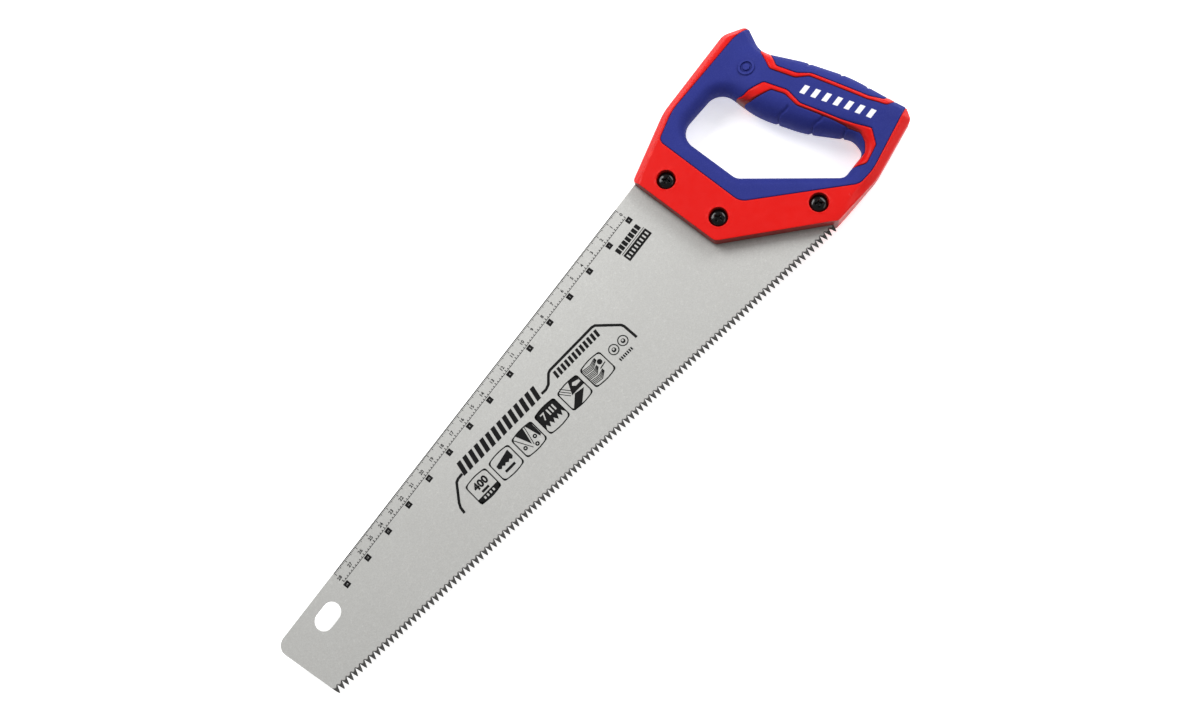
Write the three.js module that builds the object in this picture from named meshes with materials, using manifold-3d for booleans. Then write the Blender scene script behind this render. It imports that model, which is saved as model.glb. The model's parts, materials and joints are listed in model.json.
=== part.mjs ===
// Hand saw, 400 mm blade, lying flat: the blade is parallel to the XY plane, the teeth run along X.
//
// Millimetres. In the drawing frame used below, X runs along the points of the teeth from the toe
// to the heel, Y runs from the teeth to the spine, and Z 0 is the middle of the blade's thickness.
// At the end the whole saw is moved so that the origin is under the middle of its box.
//
// A handle of this kind is one moulded core with a slot for the blade, three soft mouldings on it,
// and three screws that pass through the blade into sleeve nuts at the back.

import * as THREE from 'three';
import { mergeVertices } from 'three/addons/utils/BufferGeometryUtils.js';
import Module from 'manifold-3d';

const wasm = await Module();
wasm.setup();

// ---------- driving dimensions ----------

const BLADE_THICKNESS = 0.9;
const TEETH_PER_INCH = 7;
const TOOTH_PITCH = 25.4 / TEETH_PER_INCH;
const TOOTH_COUNT = 113;
const TOOTH_DEPTH = 3.7;
const FIRST_TOOTH_X = 0.2;
const GULLET_WIDTH = 0.45;             // flat bottom between two teeth
const TOOTH_FLANK = (TOOTH_PITCH - GULLET_WIDTH) / 2;
const HEEL_X = FIRST_TOOTH_X + (TOOTH_COUNT - 1) * TOOTH_PITCH + TOOTH_FLANK;
const SPINE_ANGLE = 0.1712;            // radians between the spine and the line of the teeth

const HANG_SLOT = { x: 23.5, y: 38, length: 19, width: 12.2 };

const BASE_HALF = 10;                  // half thickness of the plate-like part of the handle
const RIM_CHAMFER = 4.6;               // across the face, round the outside of the handle
const RIM_CHAMFER_DEPTH = 5;
const HOLE_ROUND = 6.5;                // rounding of the hand hole's rim, across the face
const HOLE_ROUND_DEPTH = 5;
const GRIP_HALF = 14.5;                // half thickness of the grip, at the flat of its two panels
const GRIP_SWELL = { x: 452.5, y: 69, length: 160, width: 56, thickness: 32.4, angle: -1.1956 };
const SKIN = 3;                        // thickness of the soft mouldings on the core
const GAP = 0.3;                       // left between neighbours

const SCREWS = [
  { name: 'upper', x: 353.3, y: 92.6 },
  { name: 'middle', x: 360, y: 53.2 },
  { name: 'lower', x: 409.4, y: 17.6 },
];
const COUNTERBORE_RADIUS = 6;
const COUNTERBORE_FLOOR = 5;           // height of the floor above the blade's middle
const HEAD_DOME = [                    // [radius, height above the underside of the head]
  [4.7, 0],
  [4.7, 1.3],
  [4.2, 2.1],
  [3.1, 2.7],
  [2.1, 2.9],
];
const HEAD_HEIGHT = HEAD_DOME.at(-1)[1];
const RECESS = { length: 5, width: 1.1, depth: 1.5 };
const SHANK_RADIUS = 2.4;
const SHANK_END = -3.5;
const SHANK_TIP = 0.5;
const SLEEVE_RADIUS = 3.4;
const SLEEVE_END = 3.7;
const SLEEVE_BORE_END = -5;
const FLANGE_RADIUS = 5;
const FLANGE_HEIGHT = 2.6;
const FLANGE_BEVEL = 0.8;
const NUT_SLOT = { width: 1.4, depth: 1 };

const ARC_STEP = THREE.MathUtils.degToRad(13);
const ROUND_SIDES = 28;                // sides of a solid of revolution
const FAR = 40;                        // half height of a cutter that goes right through
const OVERCUT = 0.1;                   // how far a cutter runs past the face it opens
const SLIVER = 0.01;                   // straight left between two fillets that nearly meet

// ---------- outlines: corners [x, y, fillet radius], counter-clockwise ----------

const rise = Math.tan(SPINE_ANGLE);
const spineY = (x) => 106.6 + (x - 340.3) * rise;

const BLADE_REAR = [
  [425.5, 6.6, 2],
  [428, 14.8, 3],
  [368.8, 55.4, 5],
  [360.8, spineY(360.8), 3],
];
const BLADE_TOE = [
  [-12.5, spineY(-12.5), 7],
  [-1.7, TOOTH_DEPTH, 0],
];

const HANDLE_RIM = [                   // heel, horn and top of the handle
  [446.2, 4.8, 40],
  [486.3, 17.4, 4],
  [489.8, 24.6, 4],
  [480.2, 63, 90],
  [467.8, 90.5, 60],
  [452.2, 113, 14],
  [458.2, 131, 4],
  [443.5, 137.7, 10],
  [382.5, 126.9, 40],
];
const HANDLE_FRONT = [                 // edge of the handle where the blade goes in
  [338.6, 107.4, 3.4],
  [348.2, 43.8, 5],
  [410.2, 1.5, 3.4],
];
const BEYOND_FRONT = [                 // the same edge moved out past the handle
  [320, 99.1, 3.4],
  [320, 20, 5],
  [395, 0.4, 3.4],
];

const HAND_HOLE = [
  [378.2, 110.6, 9],
  [384.9, 64.5, 7],
  [431.9, 18.9, 6],
  [452.8, 22.4, 7],
  [454.3, 34, 9],
  [437, 57.6, 80],
  [424.2, 85, 60],
  [419.6, 115, 11],
];

const GRIP = [                         // the thick part of the handle that the hand closes round
  [446, 14.5, 6],
  [478, 17.5, 8],
  [488.6, 27, 6],
  [479.4, 63, 90],
  [467, 90.5, 60],
  [451.6, 113, 12],
  [455, 127, 6],
  [424, 123, 12],
  [420.6, 108, 30],
  [425, 85.2, 60],
  [437.6, 58, 80],
  [454, 33.5, 10],
];

const SOFT_ZONE = [                    // round the hand hole and over the grip
  [435, 9, 9],
  [447, 10, 30],
  [510, 32, 4],
  [510, 124, 4],
  [458, 129.4, 4],
  [445, 130.3, 20],
  [386, 122.6, 40],
  [367.2, 114, 4.5],
  [376, 51.2, 10],
];

const FINGER_ZONE = [                  // front of the grip, out to the middle of its face
  [438.6, 18.9, 4],
  [444.5, 14.4, 4],
  [456.3, 18, 5],
  [463.4, 28.4, 2],
  [445, 69.5, 14],
  [444.8, 81, 6],
  [438, 95.8, 4],
  [427, 98.4, 8],
  [412, 99, 4],
  [396, 60, 4],
];
const FINGER_PAD = [
  [443.2, 22, 2],
  [447.4, 18.9, 3],
  [454.8, 22.4, 4],
  [458.6, 29, 3],
  [441.8, 69.5, 14],
  [441.5, 81.5, 4],
  [437.2, 89.6, 3],
  [427, 92.2, 8],
  [412, 93.2, 4],
  [396, 60, 4],
];

const PALM_ZONE = [                    // back of the grip
  [499, 27.5, 4],
  [500, 112, 4],
  [452, 113.5, 3],
  [447.2, 98, 3.5],
  [455.2, 83.4, 6],
  [461.6, 78.6, 5],
  [475.6, 43.4, 12],
  [481.8, 33.2, 5],
];
const PALM_PAD = [
  [499, 31.5, 4],
  [500, 106, 4],
  [456.5, 109, 3],
  [451.6, 97.2, 3],
  [457, 85.2, 6],
  [463.2, 79.4, 5],
  [477.4, 44.4, 12],
  [482.6, 36.6, 4],
];

const FINGER_NOTCHES = [               // [x, y, direction of the groove in degrees]
  [429.6, 71.6, 10],
  [440.2, 52.6, 30],
  [451.2, 38, 30],
];
const PALM_NOTCHES = [
  [469.2, 86.6, 200],
  [478.2, 67.2, 200],
  [483.6, 50.4, 190],
];
const NOTCH_DEPTH = 1.3;
const NOTCH_WIDTH = 2.6;

// ---------- outlines as points ----------

// Moves every side of an outline outwards by grow, and keeps its fillets concentric.
function grown(corners, grow) {
  return corners.map(([x, y, radius], i) => {
    const before = corners.at(i - 1);
    const after = corners[(i + 1) % corners.length];
    const into = new THREE.Vector2(x - before[0], y - before[1]).normalize();
    const out = new THREE.Vector2(after[0] - x, after[1] - y).normalize();
    const turn = into.cross(out);
    const scale = grow / (1 + into.dot(out));
    const moved = radius === 0 ? 0 : Math.max(radius + grow * Math.sign(turn), 0.5);
    return [x + scale * (into.y + out.y), y - scale * (into.x + out.x), moved];
  });
}

// Points along an outline, with an arc at each corner that has a radius.
function filleted(corners) {
  const points = [];
  corners.forEach(([x, y, radius], i) => {
    const corner = new THREE.Vector2(x, y);
    if (radius === 0) {
      points.push(corner);
      return;
    }
    const before = corners.at(i - 1);
    const after = corners[(i + 1) % corners.length];
    const back = new THREE.Vector2(before[0] - x, before[1] - y).normalize();
    const ahead = new THREE.Vector2(after[0] - x, after[1] - y).normalize();
    const half = Math.acos(THREE.MathUtils.clamp(back.dot(ahead), -1, 1)) / 2;
    const middle = back.clone().add(ahead).normalize();
    const centre = corner.clone().addScaledVector(middle, radius / Math.sin(half));
    const start = corner.clone().addScaledVector(back, radius / Math.tan(half)).sub(centre);
    const sweep = (Math.PI - 2 * half) * Math.sign(ahead.cross(back));
    const steps = Math.max(1, Math.ceil(Math.abs(sweep) / ARC_STEP));
    for (let k = 0; k <= steps; k += 1) {
      const spoke = start.clone().rotateAround(new THREE.Vector2(), (sweep * k) / steps);
      points.push(spoke.add(centre));
    }
  });
  return points;
}

// ---------- solids ----------

function toSolid(geometry) {
  geometry.deleteAttribute('normal');
  geometry.deleteAttribute('uv');
  const merged = mergeVertices(geometry, 1e-4);
  const vertProperties = new Float32Array(merged.attributes.position.array);
  const triVerts = new Uint32Array(merged.index.array);
  return new wasm.Manifold(new wasm.Mesh({ numProp: 3, vertProperties, triVerts }));
}

function prismOfPoints(points, low, high) {
  const options = { depth: high - low, bevelEnabled: false };
  const geometry = new THREE.ExtrudeGeometry(new THREE.Shape(points), options);
  return toSolid(geometry.translate(0, 0, low));
}

function prism(corners, half = FAR, grow = 0) {
  return prismOfPoints(filleted(grown(corners, grow)), -half, half);
}

// A prism whose outline changes by `inset` over the last `depth` of its height, at both ends.
// Fillets too small to be moved in by that much are left as sharp corners.
function roundedPrism(corners, half, inset, depth, segments) {
  const smallest = inset + 1;
  const kept = corners.map(([x, y, radius]) => [x, y, radius > smallest ? radius : 0]);
  const options = {
    depth: 2 * (half - depth),
    bevelThickness: depth,
    bevelSize: inset,
    bevelOffset: -inset,
    bevelSegments: segments,
  };
  const geometry = new THREE.ExtrudeGeometry(new THREE.Shape(filleted(kept)), options);
  return toSolid(geometry.translate(0, 0, depth - half));
}

// A solid of revolution about a vertical axis, from [radius, height] points.
function turned(profile, x, y) {
  const points = profile.map(([radius, height]) => new THREE.Vector2(radius, height));
  const geometry = new THREE.LatheGeometry(points, ROUND_SIDES);
  return toSolid(geometry.rotateX(Math.PI / 2).translate(x, y, 0));
}

function cylinder(radius, x, y, low, high) {
  return turned([[0, low], [radius, low], [radius, high], [0, high]], x, y);
}

function box(width, depth, height, x, y, z, angle = 0) {
  const geometry = new THREE.BoxGeometry(width, depth, height);
  return toSolid(geometry.rotateZ(angle).translate(x, y, z));
}

// ---------- the handle as one shape ----------

// The outside of the whole handle, or the same shape with `skin` taken off all over. The slopes
// round its rims get shallower by half the skin, so that they stay about parallel to the outside.
function handleForm(skin) {
  const half = BASE_HALF - skin;
  const chamferDepth = RIM_CHAMFER_DEPTH - skin / 2;
  const roundDepth = HOLE_ROUND_DEPTH - skin / 2;
  const plate = prism([...HANDLE_RIM, ...HANDLE_FRONT], half, -skin);
  const rim = grown([...HANDLE_RIM, ...BEYOND_FRONT], -skin);
  const chamfered = roundedPrism(rim, half, RIM_CHAMFER, chamferDepth, 1);
  const hole = roundedPrism(grown(HAND_HOLE, skin), half + OVERCUT, -HOLE_ROUND, roundDepth, 3);
  const swell = new THREE.SphereGeometry(1, ROUND_SIDES, ROUND_SIDES / 2);
  const { x, y, length, width, thickness, angle } = GRIP_SWELL;
  swell.scale(length / 2 - skin, width / 2 - skin, thickness / 2 - skin);
  swell.rotateZ(angle).translate(x, y, 0);
  const bulge = toSolid(swell).intersect(prism(GRIP, GRIP_HALF - skin, -skin));
  const flat = plate.intersect(chamfered).subtract(hole);
  return flat.add(bulge.subtract(prism(HAND_HOLE, FAR, skin)));
}

const form = handleForm(0);
const coreForm = handleForm(SKIN);
const mouldingHollow = handleForm(SKIN - GAP);

// Grooves across the edge of a pad, one at each of the places given.
function notches(places) {
  const cutters = places.map(([x, y, degrees]) => {
    const length = 2 * NOTCH_DEPTH;
    const turn = THREE.MathUtils.degToRad(degrees);
    const corners = [[-length, -NOTCH_WIDTH], [NOTCH_DEPTH, 0], [-length, NOTCH_WIDTH]];
    const points = corners.map(([along, across]) => {
      const point = new THREE.Vector2(along, across).rotateAround(new THREE.Vector2(), turn);
      return point.add(new THREE.Vector2(x, y));
    });
    return prismOfPoints(points, -FAR, FAR);
  });
  return cutters.reduce((sum, cutter) => sum.add(cutter));
}

// ---------- sub-parts ----------

function blade() {
  const half = BLADE_THICKNESS / 2;
  const teeth = [];
  for (let i = 0; i < TOOTH_COUNT; i += 1) {
    const x = FIRST_TOOTH_X + i * TOOTH_PITCH;
    teeth.push([x - TOOTH_FLANK, TOOTH_DEPTH, 0], [x, 0, 0], [x + TOOTH_FLANK, TOOTH_DEPTH, 0]);
  }
  let body = prism([...teeth.slice(1), ...BLADE_REAR, ...BLADE_TOE], half);
  const slot = HANG_SLOT;
  const corner = slot.width / 2 - SLIVER;
  const ends = [[-1, -1], [1, -1], [1, 1], [-1, 1]].map(([along, across]) => {
    const point = new THREE.Vector2((along * slot.length) / 2, (across * slot.width) / 2);
    point.rotateAround(new THREE.Vector2(), SPINE_ANGLE);
    return [slot.x + point.x, slot.y + point.y, corner];
  });
  body = body.subtract(prism(ends));
  SCREWS.forEach(({ x, y }) => {
    body = body.subtract(cylinder(SLEEVE_RADIUS + GAP, x, y, -FAR, FAR));
  });
  return body;
}

function handleCore() {
  const frame = form.subtract(prism(SOFT_ZONE));
  const fingerRidge = prism(FINGER_ZONE).subtract(prism(FINGER_PAD));
  const palmRidge = prism(PALM_ZONE).subtract(prism(PALM_PAD));
  const ridges = form.intersect(fingerRidge.add(palmRidge));
  let body = frame.add(ridges).add(coreForm);

  const ahead = 300;                   // well in front of the handle
  const bladeSlot = [
    ...BLADE_REAR,
    [ahead, spineY(ahead), 0],
    [ahead, -FAR, 0],
    [HEEL_X, -FAR, 0],
    [HEEL_X, TOOTH_DEPTH, 0],
  ];
  body = body.subtract(prism(bladeSlot, BLADE_THICKNESS / 2 + GAP, GAP));
  SCREWS.forEach(({ x, y }) => {
    body = body.subtract(cylinder(SLEEVE_RADIUS + GAP, x, y, -FAR, FAR));
    body = body.subtract(cylinder(COUNTERBORE_RADIUS, x, y, COUNTERBORE_FLOOR, FAR));
    body = body.subtract(cylinder(COUNTERBORE_RADIUS, x, y, -FAR, -COUNTERBORE_FLOOR));
  });
  return body;
}

function gripOvermould() {
  const zone = prism(SOFT_ZONE, FAR, -GAP);
  const pads = prism(FINGER_ZONE, FAR, GAP).add(prism(PALM_ZONE, FAR, GAP));
  return form.intersect(zone).subtract(pads).subtract(mouldingHollow);
}

function pad(outline, places) {
  return form.intersect(prism(outline, FAR, -GAP)).subtract(mouldingHollow).subtract(notches(places));
}

function screw({ x, y }) {
  const under = COUNTERBORE_FLOOR + GAP;
  const top = under + HEAD_HEIGHT;
  const body = turned(
    [
      [0, SHANK_END],
      [SHANK_RADIUS - SHANK_TIP, SHANK_END],
      [SHANK_RADIUS, SHANK_END + SHANK_TIP],
      [SHANK_RADIUS, under],
      ...HEAD_DOME.map(([radius, height]) => [radius, under + height]),
      [0, top],
    ],
    x,
    y,
  );
  const { length, width, depth } = RECESS;
  const cross = box(length, width, 2 * depth, x, y, top).add(box(width, length, 2 * depth, x, y, top));
  return body.subtract(cross);
}

function sleeveNut({ x, y }) {
  const under = -COUNTERBORE_FLOOR - GAP;
  const outside = under - FLANGE_HEIGHT;
  const bore = SHANK_RADIUS + GAP;
  const body = turned(
    [
      [0, outside],
      [FLANGE_RADIUS - FLANGE_BEVEL, outside],
      [FLANGE_RADIUS, outside + FLANGE_BEVEL],
      [FLANGE_RADIUS, under],
      [SLEEVE_RADIUS, under],
      [SLEEVE_RADIUS, SLEEVE_END],
      [bore, SLEEVE_END],
      [bore, SLEEVE_BORE_END],
      [0, SLEEVE_BORE_END],
    ],
    x,
    y,
  );
  const { width, depth } = NUT_SLOT;
  return body.subtract(box(3 * FLANGE_RADIUS, width, 2 * depth, x, y, outside, SPINE_ANGLE));
}

// ---------- the scene graph ----------

const STEEL = { color: 0xbcbcb8, roughness: 0.45, metalness: 0.9 };
const RED_PLASTIC = { color: 0xe8221e, roughness: 0.42, metalness: 0 };
const BLUE_RUBBER = { color: 0x37408f, roughness: 0.7, metalness: 0 };
const BLACK_STEEL = { color: 0x16161a, roughness: 0.35, metalness: 0.6 };

const saw = new THREE.Group();

function addPart(name, solid, finish) {
  const { vertProperties, triVerts } = solid.getMesh();
  const geometry = new THREE.BufferGeometry();
  geometry.setAttribute('position', new THREE.BufferAttribute(new Float32Array(vertProperties), 3));
  geometry.setIndex(new THREE.BufferAttribute(new Uint32Array(triVerts), 1));
  geometry.computeVertexNormals();
  const mesh = new THREE.Mesh(geometry, new THREE.MeshStandardMaterial(finish));
  mesh.name = name;
  saw.add(mesh);
}

addPart('blade', blade(), STEEL);
addPart('handle_core', handleCore(), RED_PLASTIC);
addPart('grip_overmould', gripOvermould(), BLUE_RUBBER);
addPart('finger_pad', pad(FINGER_PAD, FINGER_NOTCHES), BLUE_RUBBER);
addPart('palm_pad', pad(PALM_PAD, PALM_NOTCHES), BLUE_RUBBER);
SCREWS.forEach((place) => addPart(`screw_${place.name}`, screw(place), BLACK_STEEL));
SCREWS.forEach((place) => addPart(`sleeve_nut_${place.name}`, sleeveNut(place), BLACK_STEEL));

const bounds = new THREE.Box3().setFromObject(saw);
const middle = bounds.getCenter(new THREE.Vector3());
saw.position.set(-middle.x, -middle.y, -bounds.min.z);

export default saw;
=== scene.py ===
"""Looks of the hand saw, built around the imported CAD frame.

Shapes are drawn in millimetres in the drawing frame of the saw: X along the teeth from the toe to the
heel, Y from the teeth to the spine, Z 0 in the middle of the blade. place() moves them to the row
frame, in metres. The handle is one height field over its outline, cut into its mouldings. An outline
is a list of (x, y, radius of the fillet) for its corners, anticlockwise.
"""
import itertools
import json
import math

import bpy
import numpy as np
from mathutils import Matrix, Vector
from mathutils.geometry import delaunay_2d_cdt

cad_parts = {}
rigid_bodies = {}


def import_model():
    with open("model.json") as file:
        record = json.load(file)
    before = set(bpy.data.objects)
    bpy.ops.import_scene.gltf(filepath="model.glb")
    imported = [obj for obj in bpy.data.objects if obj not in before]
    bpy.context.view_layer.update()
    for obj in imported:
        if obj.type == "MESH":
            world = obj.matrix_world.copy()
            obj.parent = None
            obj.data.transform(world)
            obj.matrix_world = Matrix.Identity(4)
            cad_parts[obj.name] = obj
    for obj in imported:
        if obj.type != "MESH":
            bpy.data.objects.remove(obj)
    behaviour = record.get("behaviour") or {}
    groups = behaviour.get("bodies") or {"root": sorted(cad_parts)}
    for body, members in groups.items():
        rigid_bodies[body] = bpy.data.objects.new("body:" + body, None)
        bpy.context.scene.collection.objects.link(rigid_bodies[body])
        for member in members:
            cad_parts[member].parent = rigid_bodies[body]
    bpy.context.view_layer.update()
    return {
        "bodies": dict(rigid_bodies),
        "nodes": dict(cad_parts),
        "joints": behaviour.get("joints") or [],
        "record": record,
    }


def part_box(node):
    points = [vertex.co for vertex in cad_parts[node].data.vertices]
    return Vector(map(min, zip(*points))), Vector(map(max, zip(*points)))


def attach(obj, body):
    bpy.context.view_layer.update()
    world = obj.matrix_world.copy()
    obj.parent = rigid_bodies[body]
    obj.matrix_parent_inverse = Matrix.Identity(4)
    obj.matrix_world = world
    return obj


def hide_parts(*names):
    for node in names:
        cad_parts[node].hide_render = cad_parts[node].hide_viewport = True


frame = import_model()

# ---------- driving dimensions, millimetres in the drawing frame ----------

BLADE_HALF = 0.45
TOOTH_PITCH = 25.4 / 7
TOOTH_COUNT = 113
TOOTH_TIP_Y = -1.15
GULLET_Y = 3.45
TOOTH_DEPTH = GULLET_Y - TOOTH_TIP_Y
FIRST_TOOTH_X = 0.0
GULLET_WIDTH = 0.28
TOOTH_BULGE = 1.45              # 1 for straight flanks, more for full ones
TOOTH_FLANK = (TOOTH_PITCH - GULLET_WIDTH) / 2
TOOTH_SET = 0.22                # how far the points lean out of the blade, to alternate sides
TOOTH_GROUND = 0.72             # how much of the thickness the ground bevels take off at the edge
SPINE_ANGLE = 0.1712
HANG_SLOT = {"x": 23.5, "y": 38.0, "length": 19.0, "width": 12.2}

PLATE_HALF = 10.0
RIM_CHAMFER = 4.6
RIM_EDGE_HALF = 5.0
CHAMFER_RUN_OUT = (6.0, 34.0)   # from the tooth-side corner of the plate: none, then full
HOLE_ROUND = 8.0
HOLE_EDGE_HALF = 1.2
FRONT_ROUND = 0.8
GRIP_HALF = 14.1
GRIP_AXIS = {"x": 452.5, "y": 69.0, "length": 160.0, "thickness": 32.4, "angle": -1.1956}
GRIP_ROLL = 13.0                # width over which the grip's face rolls over to its side
GRIP_EDGE_HALF = 1.2
SEAM = 0.14                     # open width between two mouldings
SHOULDER = 0.75                 # radius of a moulding's edge at a seam
RIDGE_SHOULDER = 1.4            # the same on the ridges, which are rounder
RIDGE_PROUD = 0.35

SCREWS = {"upper": (353.3, 92.6), "middle": (360.0, 53.2), "lower": (409.4, 17.6)}
SLEEVE_HOLE = 3.7
COUNTERBORE_RADII = [5.3, 5.7, 5.93, 6.0, 6.12, 6.35, 6.7]
COUNTERBORE_HEIGHTS = [5.0, 5.08, 5.5, 9.3, 9.75, 9.95, PLATE_HALF]


def spine_y(x):
    return 106.6 + (x - 340.3) * math.tan(SPINE_ANGLE)


BLADE_REAR = [
    (425.5, 6.6, 2), (428, 14.8, 3), (368.8, 55.4, 5), (360.8, spine_y(360.8), 3),
]
BLADE_TOE = [(-12.5, spine_y(-12.5), 7), (-1.7, GULLET_Y, 0)]

HANDLE_RIM = [
    (446.2, 4.8, 40), (486.3, 17.4, 4), (489.8, 24.6, 4), (479.6, 62.8, 90), (466.6, 90, 60),
    (452.2, 113, 14), (458.2, 131, 4), (443.5, 137.7, 10), (382.5, 126.9, 40),
]
HANDLE_FRONT = [(338.6, 107.4, 3.4), (348.2, 43.8, 5), (410.2, 1.5, 3.4)]
BEYOND_FRONT = [(320, 99.1, 3.4), (320, 20, 5), (395, 0.4, 3.4)]
HAND_HOLE = [
    (379, 110.6, 12), (385.8, 64.8, 7), (432.6, 19.2, 6), (452.8, 22.4, 7), (454.3, 34, 9),
    (436.6, 57.4, 80), (423.4, 85, 60), (418.9, 115, 11),
]
SOFT_ZONE = [
    (435, 9, 9), (447, 10, 30), (510, 32, 4), (510, 124, 4), (458, 129.4, 4), (445, 130.3, 20),
    (386, 122.6, 40), (367.2, 114, 4.5), (376, 51.2, 10),
]
FINGER_ZONE = [
    (441.4, 18.8, 3), (446.2, 15.1, 4), (458.7, 19.6, 2.5), (463.6, 28.4, 1.5), (454.3, 45.8, 60),
    (443.9, 69.8, 6), (444.3, 81.2, 6), (437.7, 95.2, 3), (428, 98.4, 8), (423.6, 99, 4),
    (417, 106, 0), (396, 60, 4),
]
FINGER_PAD = [
    (443, 24, 0), (447, 21.3, 2), (451.8, 21.4, 3), (455.8, 25.8, 4), (457.6, 31.5, 4),
    (451.4, 47.5, 60), (441.4, 70.2, 8), (441.4, 80.4, 5), (437.4, 88.4, 2.5), (428, 91.6, 10),
    (424.6, 93, 3), (417, 100, 0), (396, 60, 4),
]
PALM_ZONE = [
    (496, 31.2, 2), (500, 112, 4), (451.6, 113.2, 3), (446, 98.8, 3.5), (453, 83.6, 6),
    (459.8, 78.2, 5), (474.1, 43.2, 12), (480.6, 32.8, 4),
]
PALM_PAD = [
    (499, 36.6, 4), (500, 106, 4), (455.6, 108.6, 3), (450.4, 97.4, 3), (455.8, 85.2, 6),
    (462.1, 79, 5), (476.6, 44, 12), (482.2, 36.9, 3),
]
# x, y, direction in degrees and length of each notch with its groove
FINGER_NOTCHES = [(428.2, 73.0, 8, 10.5), (438.4, 54.4, 3, 10.5), (450.0, 39.0, -4, 8.5)]
PALM_NOTCHES = [(468.8, 87.2, 222, 5.5), (477.8, 68.0, 222, 5.0), (483.4, 51.0, 222, 4.5)]
NOTCH_DEPTH = 1.4               # into the side of the pad, fading out over NOTCH_REACH
NOTCH_REACH = 2.2
GROOVE_DEPTH = 1.1              # across its face
GROOVE_WIDTH = 0.8
GROOVE_FADE = 2.0
NOTCH_BEND = 0.7
BADGE = {"x": 437.0, "y": 110.0}
BADGE_RADII = [1.6, 2.1, 2.4, 3.5, 3.8, 5.0, 5.4]
BADGE_RELIEF = [1.3, 1.1, 0.0, 0.0, 1.1, 1.0, 0.0]

# ---------- from the drawing frame to the row frame ----------


def middle_of(node):
    low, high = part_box(node)
    return (low + high) / 2


screw_middle = middle_of("screw_lower")
ORIGIN = Vector((
    screw_middle.x - SCREWS["lower"][0] / 1000,
    screw_middle.y - SCREWS["lower"][1] / 1000,
    middle_of("blade").z,
))


def place(points):
    return np.asarray(points, float) / 1000 + np.array(ORIGIN)


# ---------- outlines ----------


def grown(corners, grow):
    """Moves every side of an outline outwards by grow, and keeps its fillets concentric."""
    moved = []
    count = len(corners)
    for i, (x, y, radius) in enumerate(corners):
        before, after = corners[i - 1], corners[(i + 1) % count]
        into = Vector((x - before[0], y - before[1])).normalized()
        out = Vector((after[0] - x, after[1] - y)).normalized()
        turn = into.x * out.y - into.y * out.x
        scale = grow / (1 + into.dot(out))
        fillet = max(radius + math.copysign(grow, turn), 0.3) if radius else 0
        moved.append((x + scale * (into.y + out.y), y - scale * (into.x + out.x), fillet))
    return moved


def filleted(corners, spacing=1.2, arc_step=math.radians(9), closed=True):
    """Points along an outline, with an arc at each corner that has a radius."""
    points = []
    count = len(corners)
    for i, (x, y, radius) in enumerate(corners):
        corner = Vector((x, y))
        if radius == 0 or (not closed and i in (0, count - 1)):
            points.append(corner)
            continue
        before, after = corners[i - 1], corners[(i + 1) % count]
        back = Vector((before[0] - x, before[1] - y)).normalized()
        ahead = Vector((after[0] - x, after[1] - y)).normalized()
        half = math.acos(max(-1.0, min(1.0, back.dot(ahead)))) / 2
        centre = corner + (back + ahead).normalized() * (radius / math.sin(half))
        start = corner + back * (radius / math.tan(half)) - centre
        sweep = math.copysign(math.pi - 2 * half, ahead.x * back.y - ahead.y * back.x)
        steps = max(2, math.ceil(max(abs(sweep) / arc_step, abs(sweep) * radius / spacing)))
        for k in range(steps + 1):
            angle = sweep * k / steps
            spoke = Matrix.Rotation(angle, 2) @ start
            points.append(centre + spoke)
    return spaced(np.array([tuple(p) for p in points]), spacing, closed)


def spaced(points, spacing, closed=True):
    """The same line with its long straight parts divided."""
    result = []
    last = len(points) if closed else len(points) - 1
    for i in range(last):
        a, b = points[i], points[(i + 1) % len(points)]
        steps = max(1, math.ceil(np.linalg.norm(b - a) / spacing))
        result += [a + (b - a) * k / steps for k in range(steps)]
    if not closed:
        result.append(points[-1])
    return np.array(result)


def circle(x, y, radius, sides):
    angles = np.arange(sides) * 2 * math.pi / sides
    return np.c_[x + radius * np.cos(angles), y + radius * np.sin(angles)]


def inside(points, loop):
    """Which points lie inside a closed line."""
    result = np.zeros(len(points), bool)
    x, y = points[:, 0], points[:, 1]
    ends = np.roll(loop, -1, axis=0)
    for (ax, ay), (bx, by) in zip(loop, ends):
        if ay == by:
            continue
        crosses = (ay > y) != (by > y)
        result ^= crosses & (x < ax + (y - ay) * (bx - ax) / (by - ay))
    return result


def distance(points, line, closed=True):
    """Distance from each point to a line."""
    starts = line if closed else line[:-1]
    ends = np.roll(line, -1, axis=0) if closed else line[1:]
    along = ends - starts
    square = np.maximum((along ** 2).sum(1), 1e-12)
    result = np.empty(len(points))
    chunk = 4000
    for first in range(0, len(points), chunk):
        part = points[first:first + chunk, None, :]
        share = np.clip(((part - starts) * along).sum(2) / square, 0, 1)
        nearest = starts + share[..., None] * along
        result[first:first + chunk] = np.sqrt(((part - nearest) ** 2).sum(2).min(1))
    return result


# ---------- the height of the handle's face above the middle of the blade ----------


def smooth_min(a, b, blend):
    return np.minimum(a, b) - np.maximum(blend - np.abs(a - b), 0) ** 2 / (4 * blend)


def smooth_step(value, start, end):
    share = np.clip((value - start) / (end - start), 0, 1)
    return share * share * (3 - 2 * share)


def rolled(share, power):
    """0 to 1 along a rounded shoulder, steep at 0 and flat at 1."""
    share = np.clip(share, 0, 1)
    return (1 - (1 - share) ** power) ** (1 / power)


HANDLE = filleted([*HANDLE_RIM, *HANDLE_FRONT])
RIM = filleted([*HANDLE_RIM, *BEYOND_FRONT])
FRONT = filleted([HANDLE_RIM[-1], *HANDLE_FRONT, HANDLE_RIM[0]], closed=False)
HOLE = filleted(HAND_HOLE, spacing=1.0)


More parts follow.
